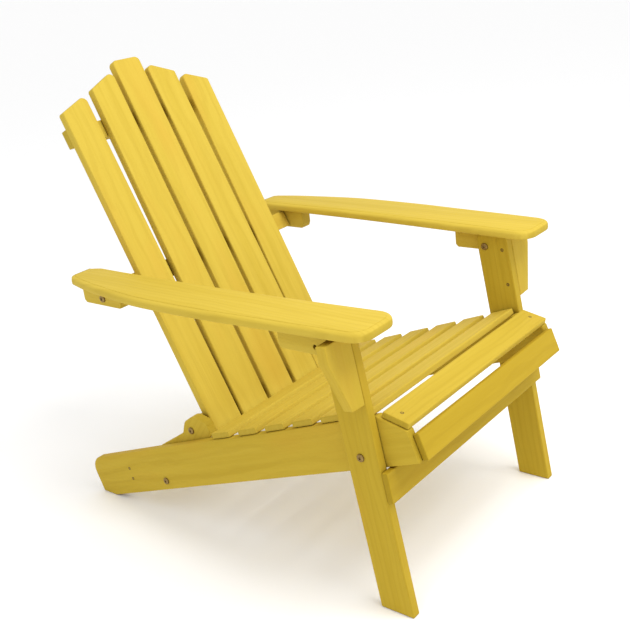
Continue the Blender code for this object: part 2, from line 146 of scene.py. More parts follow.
def rounded(corners: list[Triple], steps: int) -> list[tuple[float, float]]:
    """Outline through (x, y, radius) corners, each rounded to its radius.

    Args:
        corners: Corner points with their radii.
        steps: Pieces in each rounded corner.

    Returns:
        The outline's points.
    """
    outline = []
    count = len(corners)
    for i, (x, y, radius) in enumerate(corners):
        here = Vector((x, y))
        if radius <= 0.0:
            outline.append((x, y))
            continue
        before = (Vector(corners[i - 1][:2]) - here).normalized()
        after = (Vector(corners[(i + 1) % count][:2]) - here).normalized()
        half = before.angle(after) / 2.0
        reach = radius / math.tan(half)
        centre = here + (before + after).normalized() * (radius / math.sin(half))
        first = here + before * reach - centre
        last = here + after * reach - centre
        for step in range(steps + 1):
            spoke = first.lerp(last, step / steps).normalized() * radius
            outline.append(tuple(centre + spoke))
    return outline


def offset(outline: list[Vector], inset: float) -> list[Vector]:
    """Move an outline inward by an even distance.

    Args:
        outline: Closed outline.
        inset: Distance inward in metres.

    Returns:
        The moved points.
    """
    area = sum(a.x * b.y - b.x * a.y for a, b in zip(outline, outline[1:] + outline[:1]))
    sense = 1.0 if area > 0.0 else -1.0
    sharpest = 0.5
    moved = []
    count = len(outline)
    for i, here in enumerate(outline):
        before = (here - outline[i - 1]).normalized()
        after = (outline[(i + 1) % count] - here).normalized()
        first = Vector((-before.y, before.x)) * sense
        second = Vector((-after.y, after.x)) * sense
        mean = (first + second).normalized()
        moved.append(here + mean * (inset / max(mean.dot(first), sharpest)))
    return moved


# Meshes -------------------------------------------------------------------------------------------

def new_object(name: str, build: bmesh.types.BMesh, material: bpy.types.Material,
               smooth_angle: float = 40.0) -> bpy.types.Object:
    """Turn a bmesh into an object with one material, smooth except at hard edges.

    Args:
        name: Object name.
        build: The finished bmesh, which is freed.
        material: Its material.
        smooth_angle: Edges sharper than this many degrees stay hard.

    Returns:
        The new object, linked to the scene.
    """
    bmesh.ops.recalc_face_normals(build, faces=build.faces)
    limit = math.radians(smooth_angle)
    for face in build.faces:
        face.smooth = True
    for edge in build.edges:
        if len(edge.link_faces) == 2:
            edge.smooth = edge.calc_face_angle(0.0) < limit
    mesh = bpy.data.meshes.new(name)
    build.to_mesh(mesh)
    build.free()
    mesh.materials.append(material)
    piece = bpy.data.objects.new(name, mesh)
    bpy.context.scene.collection.objects.link(piece)
    return piece


def dress(piece: bpy.types.Object, material: bpy.types.Material) -> None:
    """Give a CAD piece a finish without touching its mesh.

    Args:
        piece: The CAD node's object.
        material: The finish.
    """
    for slot in piece.material_slots:
        slot.link = "OBJECT"
        slot.material = material


def ring_of(build: bmesh.types.BMesh, radius: float, height: float,
            count: int) -> list[bmesh.types.BMVert]:
    """Ring of vertices round Z.

    Args:
        build: The bmesh to add to.
        radius: Ring radius in metres.
        height: Height along Z.
        count: Number of vertices.

    Returns:
        The new vertices in order.
    """
    ring = []
    for i in range(count):
        angle = FULL_TURN * i / count
        ring.append(build.verts.new((radius * math.cos(angle), radius * math.sin(angle), height)))
    return ring


def bridge(build: bmesh.types.BMesh, low: list[bmesh.types.BMVert],
           high: list[bmesh.types.BMVert]) -> None:
    """Join two rings of equal length with quads.

    Args:
        build: The bmesh that holds them.
        low: First ring.
        high: Second ring.
    """
    count = len(low)
    for i in range(count):
        j = (i + 1) % count
        build.faces.new((low[i], low[j], high[j], high[i]))


def fan_between(build: bmesh.types.BMesh, outer: list[bmesh.types.BMVert],
                inner: list[bmesh.types.BMVert]) -> None:
    """Fill the band between two flat rings of different lengths with triangles.

    Args:
        build: The bmesh that holds them.
        outer: Outer ring.
        inner: Inner ring.
    """
    def angle(vert: bmesh.types.BMVert) -> float:
        """Angle of a vertex round Z, within one turn."""
        return math.atan2(vert.co.y, vert.co.x) % FULL_TURN

    def next_angle(ring: list[bmesh.types.BMVert], i: int) -> float:
        """Angle of the vertex after number i, past a full turn where the ring closes."""
        lap = FULL_TURN if i + 1 >= len(ring) else 0.0
        return angle(ring[(i + 1) % len(ring)]) + lap

    outer = sorted(outer, key=angle)
    inner = sorted(inner, key=angle)
    i, j = 0, 0
    while i < len(outer) or j < len(inner):
        here, there = outer[i % len(outer)], inner[j % len(inner)]
        outer_first = i < len(outer) and next_angle(outer, i) <= next_angle(inner, j)
        if j >= len(inner) or outer_first:
            build.faces.new((here, outer[(i + 1) % len(outer)], there))
            i += 1
        else:
            build.faces.new((here, inner[(j + 1) % len(inner)], there))
            j += 1


def frame_towards(normal: Vector, spot: Vector) -> Matrix:
    """Placement whose Z axis points along a normal.

    Args:
        normal: Direction the piece faces.
        spot: Where its origin goes.

    Returns:
        The placement matrix.
    """
    turn = normal.normalized().to_track_quat("Z", "Y").to_matrix().to_4x4()
    turn.translation = spot
    return turn


# Finishes -----------------------------------------------------------------------------------------

@dataclass(frozen=True)
class Mark:
    """One kind of mark in a surface, drawn by noise.

    Attributes:
        stretch: Scale of the noise on each axis; small along the grain draws it out.
        scale: Scale of the noise as a whole.
        detail: Number of octaves.
        roughness: Weight of the finer octaves.
    """

    stretch: Triple
    scale: float
    detail: float
    roughness: float


@dataclass(frozen=True)
class Coat:
    """How a colour goes over the one below it.

    Attributes:
        start: Level of the mask where the colour begins to show.
        full: Level where it has come up fully.
        strength: How much of it covers there, from 0 to 1.
    """

    start: float
    full: float
    strength: float


class Graph:
    """Small vocabulary of shader nodes, so that each finish reads as a recipe.

    Attributes:
        edge_samples: Rays that look for a nearby edge.
        crevice_samples: Rays that look for a nearby face.
        soft_edge: Radius in metres to which every edge is softened.
        broad_share: Depth of the broad relief, as a share of the fine relief's.
        broad_strength: Strength of the broad relief.
        fine_strength: Strength of the fine relief.
        ring_stretch: Scale of the growth lines on each axis.
        seed_start: Where the pattern of seed 0 lies.
        seed_step: How far the pattern moves for each seed.
    """

    edge_samples: int = 4
    crevice_samples: int = 8
    soft_edge: float = 0.0014
    broad_share: float = 0.4
    broad_strength: float = 0.25
    fine_strength: float = 0.35
    ring_stretch: Triple = (0.16, 1.0, 0.8)
    seed_start: Triple = (0.0, 0.37, 0.11)
    seed_step: Triple = (0.61803, 1.32472, 0.75488)

    def __init__(self, tree: bpy.types.NodeTree) -> None:
        """Keep the tree.

        Args:
            tree: The material's node tree.
        """
        self.tree = tree

    def node(self, kind: str) -> bpy.types.Node:
        """New node of a type.

        Args:
            kind: The node's Blender type name.

        Returns:
            The node.
        """
        return self.tree.nodes.new(kind)

    def link(self, source: bpy.types.NodeSocket, target: bpy.types.NodeSocket) -> None:
        """Join two sockets.

        Args:
            source: Output socket.
            target: Input socket.
        """
        self.tree.links.new(source, target)

    def object_space(self) -> bpy.types.NodeSocket:
        """Coordinates fixed to the piece.

        Returns:
            The vector socket.
        """
        return self.node("ShaderNodeTexCoord").outputs["Object"]

    def grain_space(self, grain: Vector, seed: int) -> bpy.types.NodeSocket:
        """Coordinates turned so that X runs along the grain.

        Args:
            grain: Direction of the grain.
            seed: Number that shifts the pattern.

        Returns:
            The vector socket.
        """
        mapping = self.node("ShaderNodeMapping")
        turn = grain.rotation_difference(Vector((1.0, 0.0, 0.0)))
        mapping.inputs["Rotation"].default_value = turn.to_euler()
        shift = tuple(start + step * seed for start, step in zip(self.seed_start, self.seed_step))
        mapping.inputs["Location"].default_value = shift
        self.link(self.object_space(), mapping.inputs["Vector"])
        return mapping.outputs["Vector"]

    def stretched(self, vector: bpy.types.NodeSocket, scale: Triple) -> bpy.types.NodeSocket:
        """Scale coordinates unevenly, which draws a pattern out along the grain.

        Args:
            vector: Coordinates.
            scale: Scale on each axis.

        Returns:
            The vector socket.
        """
        mapping = self.node("ShaderNodeMapping")
        mapping.inputs["Scale"].default_value = scale
        self.link(vector, mapping.inputs["Vector"])
        return mapping.outputs["Vector"]

    def marks(self, vector: bpy.types.NodeSocket, mark: Mark) -> bpy.types.NodeSocket:
        """Noise value of one kind of mark.

        Args:
            vector: Coordinates.
            mark: The mark.

        Returns:
            The value socket.
        """
        node = self.node("ShaderNodeTexNoise")
        node.inputs["Scale"].default_value = mark.scale
        node.inputs["Detail"].default_value = mark.detail
        node.inputs["Roughness"].default_value = mark.roughness
        self.link(self.stretched(vector, mark.stretch), node.inputs["Vector"])
        return node.outputs["Fac"]

    def rings(self, vector: bpy.types.NodeSocket) -> bpy.types.NodeSocket:
        """Growth lines that wander along the board.

        Args:
            vector: Grain coordinates.

        Returns:
            The value socket.
        """
        wave = self.node("ShaderNodeTexWave")
        wave.wave_type = "BANDS"
        wave.bands_direction = "Y"
        wave.inputs["Scale"].default_value = 26.0
        wave.inputs["Distortion"].default_value = 9.0
        wave.inputs["Detail"].default_value = 2.5
        wave.inputs["Detail Scale"].default_value = 0.9
        wave.inputs["Detail Roughness"].default_value = 0.55
        self.link(self.stretched(vector, self.ring_stretch), wave.inputs["Vector"])
        return wave.outputs["Fac"]

    def span(self, value: bpy.types.NodeSocket, low: float, high: float) -> bpy.types.NodeSocket:
        """Spread a 0 to 1 value between two levels.

        Args:
            value: The value.
            low: Result at 0.
            high: Result at 1.

        Returns:
            The value socket.
        """
        node = self.node("ShaderNodeMapRange")
        node.inputs["To Min"].default_value = low
        node.inputs["To Max"].default_value = high
        self.link(value, node.inputs["Value"])
        return node.outputs["Result"]

    def maths(self, operation: str, first: bpy.types.NodeSocket | float,
              second: bpy.types.NodeSocket | float = 0.0) -> bpy.types.NodeSocket:
        """One sum with up to two terms, each a socket or a number.

        Args:
            operation: The Math node's operation.
            first: First term.
            second: Second term.

        Returns:
            The value socket.
        """
        node = self.node("ShaderNodeMath")
        node.operation = operation
        for socket, term in zip(node.inputs, (first, second)):
            if isinstance(term, float):
                socket.default_value = term
            else:
                self.link(term, socket)
        return node.outputs[0]

    def coat(self, below: bpy.types.NodeSocket | Triple, paint: Triple,
             mask: bpy.types.NodeSocket, coat: Coat) -> bpy.types.NodeSocket:
        """Lay a colour over another where a mask is high enough.

        Args:
            below: The colour below, a socket or a plain colour.
            paint: The colour to lay on.
            mask: Where it goes.
            coat: The mask's levels and the colour's strength.

        Returns:
            The colour socket.
        """
        ramp = self.node("ShaderNodeMapRange")
        ramp.interpolation_type = "SMOOTHSTEP"
        ramp.inputs["From Min"].default_value = coat.start
        ramp.inputs["From Max"].default_value = coat.full
        self.link(mask, ramp.inputs["Value"])
        mix = self.node("ShaderNodeMix")
        mix.data_type = "RGBA"
        cover = self.maths("MULTIPLY", ramp.outputs["Result"], coat.strength)
        self.link(cover, mix.inputs["Factor"])
        colours = [socket for socket in mix.inputs if socket.type == "RGBA"]
        for socket, colour in zip(colours, (below, paint)):
            if isinstance(colour, tuple):
                socket.default_value = (*colour, 1.0)
            else:
                self.link(colour, socket)
        return next(socket for socket in mix.outputs if socket.type == "RGBA")

    def dot(self, first: bpy.types.NodeSocket,
            second: bpy.types.NodeSocket | Vector) -> bpy.types.NodeSocket:
        """How nearly two directions agree.

        Args:
            first: A direction.
            second: The other, a socket or a fixed vector.

        Returns:
            The value socket.
        """
        node = self.node("ShaderNodeVectorMath")
        node.operation = "DOT_PRODUCT"
        self.link(first, node.inputs[0])
        if isinstance(second, Vector):
            node.inputs[1].default_value = second
        else:
            self.link(second, node.inputs[1])
        return node.outputs["Value"]

    def end_mask(self, grain: Vector) -> bpy.types.NodeSocket:
        """1 on faces cut across the grain, 0 along it.

        Args:
            grain: Direction of the grain.

        Returns:
            The value socket.
        """
        facing = self.dot(self.node("ShaderNodeTexCoord").outputs["Normal"], grain)
        return self.maths("ABSOLUTE", facing)

    def edge_mask(self, reach: float) -> bpy.types.NodeSocket:
        """0 on flat faces, more towards the edges.

        Args:
            reach: How far from an edge it begins, in metres.

        Returns:
            The value socket.
        """
        bevel = self.node("ShaderNodeBevel")
        bevel.samples = self.edge_samples
        bevel.inputs["Radius"].default_value = reach
        flat = self.node("ShaderNodeNewGeometry").outputs["True Normal"]
        return self.maths("SUBTRACT", 1.0, self.dot(bevel.outputs["Normal"], flat))

    def open_mask(self, reach: float) -> bpy.types.NodeSocket:
        """1 in the open, less in narrow spaces between boards.

        Args:
            reach: How near a neighbouring face counts, in metres.

        Returns:
            The value socket.
        """
        node = self.node("ShaderNodeAmbientOcclusion")
        node.samples = self.crevice_samples
        node.inputs["Distance"].default_value = reach
        return node.outputs["AO"]

    def relief(self, fine: bpy.types.NodeSocket, broad: bpy.types.NodeSocket | None,
               depth: float) -> bpy.types.NodeSocket:
        """Surface relief over softly rounded edges.

        Args:
            fine: Fine height value.
            broad: Slower height value, or None.
            depth: Depth of the fine relief in metres.

        Returns:
            The normal socket.
        """
        soft = self.node("ShaderNodeBevel")
        soft.samples = self.edge_samples
        soft.inputs["Radius"].default_value = self.soft_edge
        normal = soft.outputs["Normal"]
        layers = ((broad, depth * self.broad_share, self.broad_strength),
                  (fine, depth, self.fine_strength))
        for height, reach, strength in layers:
            if height is None:
                continue
            node = self.node("ShaderNodeBump")
            node.inputs["Strength"].default_value = strength
            node.inputs["Distance"].default_value = reach
            self.link(height, node.inputs["Height"])
            self.link(normal, node.inputs["Normal"])
            normal = node.outputs["Normal"]
        return normal


@dataclass(frozen=True)
class WoodFinish:
    """Satin yellow stain over planed softwood.

    Attributes:
        light: Stain between the streaks.
        mid: Stain on the streaks.
        dark: Growth lines and fibres.
        blush: Warmer patches.
        end: End grain, which drinks more stain.
        worn: Darker colour towards the edges.
        painted_gap_shade: Painted shade, a deep brown laid where other boards stand close.
        painted_shade_power: How strongly red, green and blue fall where shade is painted on a board.
        streak: Long streaks.
        fibre: Fine fibres.
        broad: Slow changes over the board.
        edge_dark_reach: How far the darker edge colour reaches in from an edge, in metres.
        painted_gap_shade_reach: How near a neighbouring board must be for the painted shade, in
            metres.
        relief: Depth of the fibres in metres.
        rough_low: Roughness between the streaks.
        rough_high: Roughness on the streaks.
        specular: Specular level of the satin surface.
    """

    light: Triple = (0.575, 0.420, 0.054)
    mid: Triple = (0.535, 0.385, 0.044)
    dark: Triple = (0.380, 0.250, 0.018)
    blush: Triple = (0.565, 0.365, 0.044)
    end: Triple = (0.400, 0.280, 0.024)
    worn: Triple = (0.440, 0.295, 0.018)
    painted_gap_shade: Triple = (0.130, 0.055, 0.0020)
    painted_shade_power: Triple = (1.0, 1.3, 4.0)
    streak: Mark = Mark((1.1, 26.0, 26.0), 1.6, 6.0, 0.62)
    fibre: Mark = Mark((9.0, 260.0, 260.0), 1.0, 3.0, 0.55)
    broad: Mark = Mark((1.0, 3.0, 3.0), 3.1, 2.0, 0.5)
    streak_coat: Coat = Coat(0.34, 0.70, 1.0)
    ring_coat: Coat = Coat(0.55, 0.95, 0.13)
    blush_coat: Coat = Coat(0.52, 0.78, 0.65)
    fibre_coat: Coat = Coat(0.58, 0.85, 0.22)
    end_coat: Coat = Coat(0.70, 0.90, 0.60)
    edge_dark_coat: Coat = Coat(0.02, 0.30, 0.45)
    painted_gap_shade_coat: Coat = Coat(0.42, 0.10, 0.85)
    edge_dark_reach: float = 0.0022
    painted_gap_shade_reach: float = 0.030
    relief: float = 0.0016
    rough_low: float = 0.58
    rough_high: float = 0.74
    specular: float = 0.10

    def toned(self, tone: float) -> WoodFinish:
        """The same stain with painted shade, which turns deeper as well as darker.

        Args:
            tone: 1 for no painted shade, less for a board painted darker as if it lay in shade.

        Returns:
            The finish.
        """
        shaded_colours = {}
        for name in ("light", "mid", "dark", "blush", "end", "worn"):
            parts = zip(getattr(self, name), self.painted_shade_power)
            shaded_colours[name] = tuple(part * tone ** power for part, power in parts)
        return replace(self, **shaded_colours)

    def material(self, name: str, grain: Vector, seed: int) -> bpy.types.Material:
        """Wood material whose grain follows one board.

        Args:
            name: Board name, used for the material's name.
            grain: Direction of the grain in the chair's frame.
            seed: Number that shifts the pattern so no two boards match.

        Returns:
            The material.
        """
        material = bpy.data.materials.new("wood_" + name)
        material.use_nodes = True
        shader = material.node_tree.nodes["Principled BSDF"]
        shader.inputs["Specular IOR Level"].default_value = self.specular
        graph = Graph(material.node_tree)
        along = graph.grain_space(grain, seed)
        streak = graph.marks(along, self.streak)
        fibre = graph.marks(along, self.fibre)
        broad = graph.marks(along, self.broad)
        rings = graph.rings(along)
        colour = graph.coat(self.light, self.mid, streak, self.streak_coat)
        colour = graph.coat(colour, self.dark, rings, self.ring_coat)
        colour = graph.coat(colour, self.blush, broad, self.blush_coat)
        colour = graph.coat(colour, self.dark, fibre, self.fibre_coat)
        colour = graph.coat(colour, self.end, graph.end_mask(grain), self.end_coat)
        colour = graph.coat(colour, self.worn, graph.edge_mask(self.edge_dark_reach), self.edge_dark_coat)
        # Painted shade: where other boards stand close, the colour is pulled towards a deep brown.
        gap_shade_mask = graph.open_mask(self.painted_gap_shade_reach)
        colour = graph.coat(colour, self.painted_gap_shade, gap_shade_mask, self.painted_gap_shade_coat)
        graph.link(colour, shader.inputs["Base Color"])
        rough = graph.span(streak, self.rough_low, self.rough_high)
        graph.link(rough, shader.inputs["Roughness"])
        graph.link(graph.relief(fibre, rings, self.relief), shader.inputs["Normal"])
        return material


@dataclass(frozen=True)
class MetalFinish:
    """Plated steel, a little uneven, between a bright and a dull colour."""

    name: str
    bright: Triple
    dull: Triple
    roughness: float
    roughness_spread: float = 0.18
    relief: float = 0.0002
    speckle: Mark = Mark((1.0, 1.0, 1.0), 420.0, 4.0, 0.6)
    speckle_coat: Coat = Coat(0.35, 0.70, 1.0)

    def material(self) -> bpy.types.Material:
        """The metal's material, made once.

        Returns:
            The material.
        """
        found = bpy.data.materials.get(self.name)
        if found is not None:
            return found
        material = bpy.data.materials.new(self.name)
        material.use_nodes = True
        shader = material.node_tree.nodes["Principled BSDF"]
        shader.inputs["Metallic"].default_value = 1.0
        graph = Graph(material.node_tree)
        spots = graph.marks(graph.object_space(), self.speckle)
        colour = graph.coat(self.bright, self.dull, spots, self.speckle_coat)
        graph.link(colour, shader.inputs["Base Color"])
        rough = graph.span(spots, self.roughness, self.roughness + self.roughness_spread)
        graph.link(rough, shader.inputs["Roughness"])
        graph.link(graph.relief(spots, None, self.relief), shader.inputs["Normal"])
        return material


WOOD = WoodFinish()
ZINC = MetalFinish("yellow_zinc", (0.34, 0.23, 0.085), (0.17, 0.10, 0.030), 0.34)
SCREW_STEEL = MetalFinish("screw_steel", (0.20, 0.13, 0.055), (0.10, 0.060, 0.022), 0.42)


# Boards -------------------------------------------------------------------------------------------

@dataclass(frozen=True)
class BoardLook:
    """Which way a board's grain runs, and the shade painted on it: 1 is none, less is darker."""

    run: Run
    tone: float = 1.0


@dataclass
class Boards(SubAssembly):
    """The boards that keep their CAD shape and take a wood finish each."""

    seed: int = BOARD_SEED
    level_slats: int = 6
    back_slats: int = 5

    def looks(self) -> dict[str, BoardLook]:
        """List every board with its look; their order sets which pattern each one gets.

        Returns:
            The looks by node name.
        """
        level = range(1, self.level_slats + 1)
        looks = {"seat_slat_%d" % i: BoardLook(Run.ACROSS) for i in level}
        # Painted shade: boards that catch less of the lamp (nose slat, apron, lower stretcher,
        # stringers, links, legs, corbels) get a darker, deeper stain.
        looks["seat_slat_7"] = BoardLook(Run.ACROSS, 0.93)
        looks["front_apron"] = BoardLook(Run.ACROSS, 0.77)
        looks["rear_stretcher"] = BoardLook(Run.ACROSS)
        looks["lower_stretcher"] = BoardLook(Run.ACROSS, 0.78)
        for name in ("upper_rail", "arm_rail", "lower_rail"):
            looks[name] = BoardLook(Run.ACROSS)
        for i in range(1, self.back_slats + 1):
            looks["back_slat_%d" % i] = BoardLook(Run.BACK)
        for side in Side:
            looks["stringer_" + side.word] = BoardLook(Run.STRINGER, 0.89)
            looks["back_link_" + side.word] = BoardLook(Run.LINK, 0.90)
            looks["front_leg_" + side.word] = BoardLook(Run.LEG, 0.84)
            looks["corbel_" + side.word] = BoardLook(Run.LEG, 0.93)
            looks["front_cleat_" + side.word] = BoardLook(Run.LEVEL)
            looks["rear_cleat_" + side.word] = BoardLook(Run.LEVEL)
        return looks

    def build(self) -> list[bpy.types.Object]:
        """Give each board its own piece of wood.

        Returns:
            The dressed boards.
        """
        boards = []
        for i, (name, look) in enumerate(self.looks().items()):
            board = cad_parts[name]
            finish = WOOD.toned(look.tone)
            dress(board, finish.material(name, look.run.axis(), self.seed + i))
            boards.append(board)
        return boards


# Arms ---------------------------------------------------------------------------------------------

@dataclass
class Arm(SubAssembly):
    """Arm board with its routed edge: a small step, then a round-over.

    Attributes:
        side: Which arm.
        seed: Shift of its wood pattern.
        top: Height of the top face at y = 0.
        thickness: Thickness of the board.
        tilt: Rise of the arm for each metre towards the back.
        shift: How far the outline moves along Y to its place.
        round_width: How far the round-over reaches in from the edge.
        round_height: How far it comes down.
        step_height: Depth of the step above it.
        edge_foot: Depth at which the edge starts to turn under.
        round_steps: Pieces in the round-over.
    """

    side: Side
    seed: int
    top: float = 0.5742
    thickness: float = 0.0175
    tilt: float = 0.0057
    shift: float = -0.0013
    round_width: float = 0.0078
    round_height: float = 0.0072
    step_height: float = 0.0012
    edge_foot: float = 0.0140
    round_steps: int = 6

    def outline(self) -> list[Vector]:
        """Plan outline, drawn for the side at +X.

        Returns:
            Points in order round the board.
        """
        side_steps, front_steps, rear_steps = 8, 12, 4
        outer = smooth([(0.3265, 0.3120), (0.3400, 0.2600), (0.3500, 0.2000), (0.3628, 0.1000),
                        (0.3640, 0.0050), (0.3602, -0.1000), (0.3526, -0.2000),
                        (0.3442, -0.3200)], side_steps)
        front = rounded([(0.3405, -0.3650, 0.0), (0.3355, -0.4208, 0.035),
                         (0.2240, -0.4208, 0.035), (0.2295, -0.3500, 0.0)], front_steps)[1:-1]
        inner = smooth([(0.2295, -0.3500), (0.2400, -0.2000), (0.2504, 0.0000),
                        (0.2550, 0.2000), (0.2555, 0.2960)], side_steps)
        rear = rounded([(0.2555, 0.3020, 0.0), (0.2690, 0.3248, 0.006), (0.3165, 0.3248, 0.006),
                        (0.3265, 0.3120, 0.0)], rear_steps)[1:-1]
        return [Vector((x, y + self.shift)) for x, y in outer + front + inner + rear]

    def profile(self) -> list[tuple[float, float]]:
        """Edge profile as (distance in from the outline, height below the top).

        Returns:
            Profile points from the top face down to the bottom face.
        """
        step_lip = ((0.0016, 0.0), (0.0009, 0.0002), (0.0005, 0.0009))
        spots = [(self.round_width + back, drop) for back, drop in step_lip]
        for i in range(self.round_steps + 1):
            angle = math.radians(90.0 * i / self.round_steps)
            spots.append((self.round_width * (1.0 - math.sin(angle)),
                          self.step_height + self.round_height * (1.0 - math.cos(angle))))
        spots += [(0.0, self.edge_foot), (0.0005, self.thickness - 0.0012),
                  (0.0016, self.thickness - 0.0001), (0.0022, self.thickness)]
        return spots

    def build(self) -> list[bpy.types.Object]:
        """Make the arm and put it in place of the CAD one.

        Returns:
            The new piece.
        """
        outline = self.outline()
        build = bmesh.new()
        rings = []
        for inset, drop in self.profile():
            ring = []
            for spot in offset(outline, inset):
                height = self.top + self.tilt * spot.y - drop
                ring.append(build.verts.new((self.side.value * spot.x, spot.y, height)))
            rings.append(ring)
        for first, second in zip(rings, rings[1:]):
            bridge(build, first, second)
        build.faces.new(rings[0])
        build.faces.new(rings[-1])
        name = "arm_board_" + self.side.word
        finish = WOOD.material(name, Run.LEVEL.axis(), self.seed)
        piece = new_object(name, build, finish, smooth_angle=32.0)
        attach(piece, "arms")
        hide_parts("arm_" + self.side.word)
        return [piece]


# Hardware -----------------------------------------------------------------------------------------

@dataclass
class PivotBolt:
    """Domed bolt with a hexagon socket, in place of a CAD bolt.

    Attributes:
        node: The CAD bolt.
        body: The body it rides on.
        outward: 1 where the head faces +X, -1 where it faces -X.
        rim_share: Height of the head's rim, as a share of the head's height.
        lip_share: Radius of the flat round the socket, as a share of the socket's.
        floor_share: Radius of the socket's floor, as a share of its mouth's.
    """

    node: str
    body: str
    outward: int
    head_radius: float = 0.0076
    head_height: float = 0.0034
    rim_share: float = 0.42
    head_chamfer: float = 0.0004
    socket_radius: float = 0.0030
    socket_depth: float = 0.0021
    lip_share: float = 1.25
    floor_share: float = 0.96
    shank_radius: float = 0.0040
    tip_chamfer: float = 0.0008
    sides: int = 32
    dome_steps: int = 6

    def socket(self, build: bmesh.types.BMesh) -> list[bmesh.types.BMVert]:
        """Sink the hexagon socket into the top of the head.

        Args:
            build: The bmesh to add to.

        Returns:
            The ring of the flat round the socket.
        """
        hexagon = 6
        mouth = ring_of(build, self.socket_radius, self.head_height, hexagon)
        depth = self.head_height - self.socket_depth
        floor = ring_of(build, self.socket_radius * self.floor_share, depth, hexagon)
        lip = ring_of(build, self.socket_radius * self.lip_share, self.head_height, self.sides)
        fan_between(build, lip, mouth)
        bridge(build, mouth, floor)
        build.faces.new(floor)
        return lip

    def outside(self, length: float) -> list[tuple[float, float]]:
        """Outline of the dome and the shank.

        Args:
            length: Length of the shank.

        Returns:
            Points as (radius, height), from the dome down to the tip.
        """
        lip = self.socket_radius * self.lip_share
        spots = []
        for step in range(1, self.dome_steps + 1):
            angle = math.radians(90.0 * step / self.dome_steps)
            rise = self.rim_share + (1.0 - self.rim_share) * math.cos(angle)
            spots.append((lip + (self.head_radius - lip) * math.sin(angle), self.head_height * rise))
        spots += [(self.head_radius, self.head_chamfer), (self.head_radius - self.head_chamfer, 0.0),
                  (self.shank_radius, 0.0), (self.shank_radius, self.tip_chamfer - length),
                  (self.shank_radius - self.tip_chamfer, -length)]
        return spots

    def build(self) -> bpy.types.Object:
        """Make the bolt where its CAD node is.

        Returns:
            The new piece.
        """
        low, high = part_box(self.node)
        middle = (low + high) / 2.0
        build = bmesh.new()
        last = self.socket(build)
        for radius, height in self.outside(high.x - low.x - self.head_height):
            ring = ring_of(build, radius, height, self.sides)
            bridge(build, last, ring)
            last = ring
        build.faces.new(last)
        piece = new_object(self.node + "_full", build, ZINC.material(), smooth_angle=35.0)
        face = high.x - self.head_height if self.outward > 0 else low.x + self.head_height
        seat = Vector((face, middle.y, middle.z))
        piece.matrix_world = frame_towards(Vector((self.outward, 0.0, 0.0)), seat)
        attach(piece, self.body)
        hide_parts(self.node)
        return piece


@dataclass
class WoodScrews:
    """Countersunk cross-head screws, one object for each board they hold.

    Attributes:
        name: Name of the piece.
        body: The body it rides on.
        normal: The way the heads face.
        spots: Where the heads are.
        radius: Radius of a head.
        proud: How far a head stands above the face.
        cross_arm: Length of an arm of the cross, as a share of the radius.
        cross_half: Half the width of an arm, as a share of the radius.
    """

    name: str
    body: str
    normal: Vector
    spots: list[Vector]
    radius: float = 0.0036
    proud: float = 0.00035
    cross_arm: float = 0.62
    cross_half: float = 0.17
    cross_depth: float = 0.0011
    cross_taper: float = 0.8
    rim_share: float = 0.90
    rim_drop: float = 0.0003
    foot_share: float = 0.80
    foot_depth: float = 0.0012
    sides: int = 24
    first_turn: float = 0.35
    next_turn: float = 0.6

    def build(self) -> bpy.types.Object:
        """Make the screw heads nearly flush with the face they sit in.

        Returns:
            The new piece.
        """
        build = bmesh.new()
        for i, spot in enumerate(self.spots):
            start = len(build.verts)
            self.head(build, self.next_turn * i + self.first_turn)
            build.verts.ensure_lookup_table()
            placed = build.verts[start:]
            bmesh.ops.transform(build, matrix=frame_towards(self.normal, spot), verts=placed)
        piece = new_object(self.name, build, SCREW_STEEL.material(), smooth_angle=30.0)
        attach(piece, self.body)
        return piece

    def head(self, build: bmesh.types.BMesh, turn: float) -> None:
        """One screw head at the origin, facing +Z.

        Args:
            build: The bmesh to add to.
            turn: Rotation of its cross in radians.
        """
        arm, half = self.radius * self.cross_arm, self.radius * self.cross_half
        corners = []
        for quarter in range(4):
            angle = turn + FULL_TURN * quarter / 4.0
            for x, y in ((half, half), (half, arm), (-half, arm)):
                corners.append((x * math.cos(angle) - y * math.sin(angle),
                                x * math.sin(angle) + y * math.cos(angle)))
        taper, depth = self.cross_taper, self.proud - self.cross_depth
        cross = [build.verts.new((x, y, self.proud)) for x, y in corners]
        deep = [build.verts.new((x * taper, y * taper, depth)) for x, y in corners]
        rim = ring_of(build, self.radius * self.rim_share, self.proud, self.sides)
        lip = ring_of(build, self.radius, self.proud - self.rim_drop, self.sides)
        foot = ring_of(build, self.radius * self.foot_share, -self.foot_depth, self.sides)
        fan_between(build, rim, cross)
        bridge(build, cross, deep)
        build.faces.new(deep)
        bridge(build, rim, lip)
        bridge(build, lip, foot)
        build.faces.new(foot)


